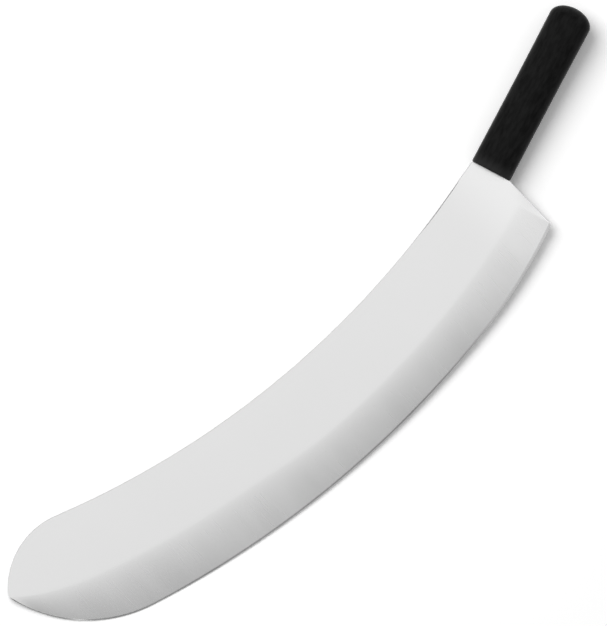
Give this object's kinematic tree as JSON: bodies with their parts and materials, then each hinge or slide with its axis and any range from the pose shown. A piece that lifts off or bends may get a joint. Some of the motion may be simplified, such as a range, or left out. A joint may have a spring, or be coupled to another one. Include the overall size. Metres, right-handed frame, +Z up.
{
  "type": "chopping knife",
  "caption": "Long curved chopping knife: a wide ground steel blade with a hollow spine and a bellied edge, on a plain moulded black handle.",
  "frame": {"origin": "bottom centre of the bounding box, with the knife lying on a table on one of its cheeks", "axes": "+X along the blade's chord, from the neck to the tip; +Y towards the cutting edge; +Z up. The knife lies as it rests, on the edge's belly and on the handle beside the neck, so the blade's mid-plane is tipped 2.7 degrees about X and 1.0 degree about Y."},
  "size_m": [0.6124, 0.16, 0.027],
  "materials": {
    "blade": "satin, with a brighter ground strip towards the edge",
    "handle": "satin black injection moulding"
  },
  "bodies": {
    "root": {"blade": "blade", "handle": "handle"}
  },
  "joints": []
}
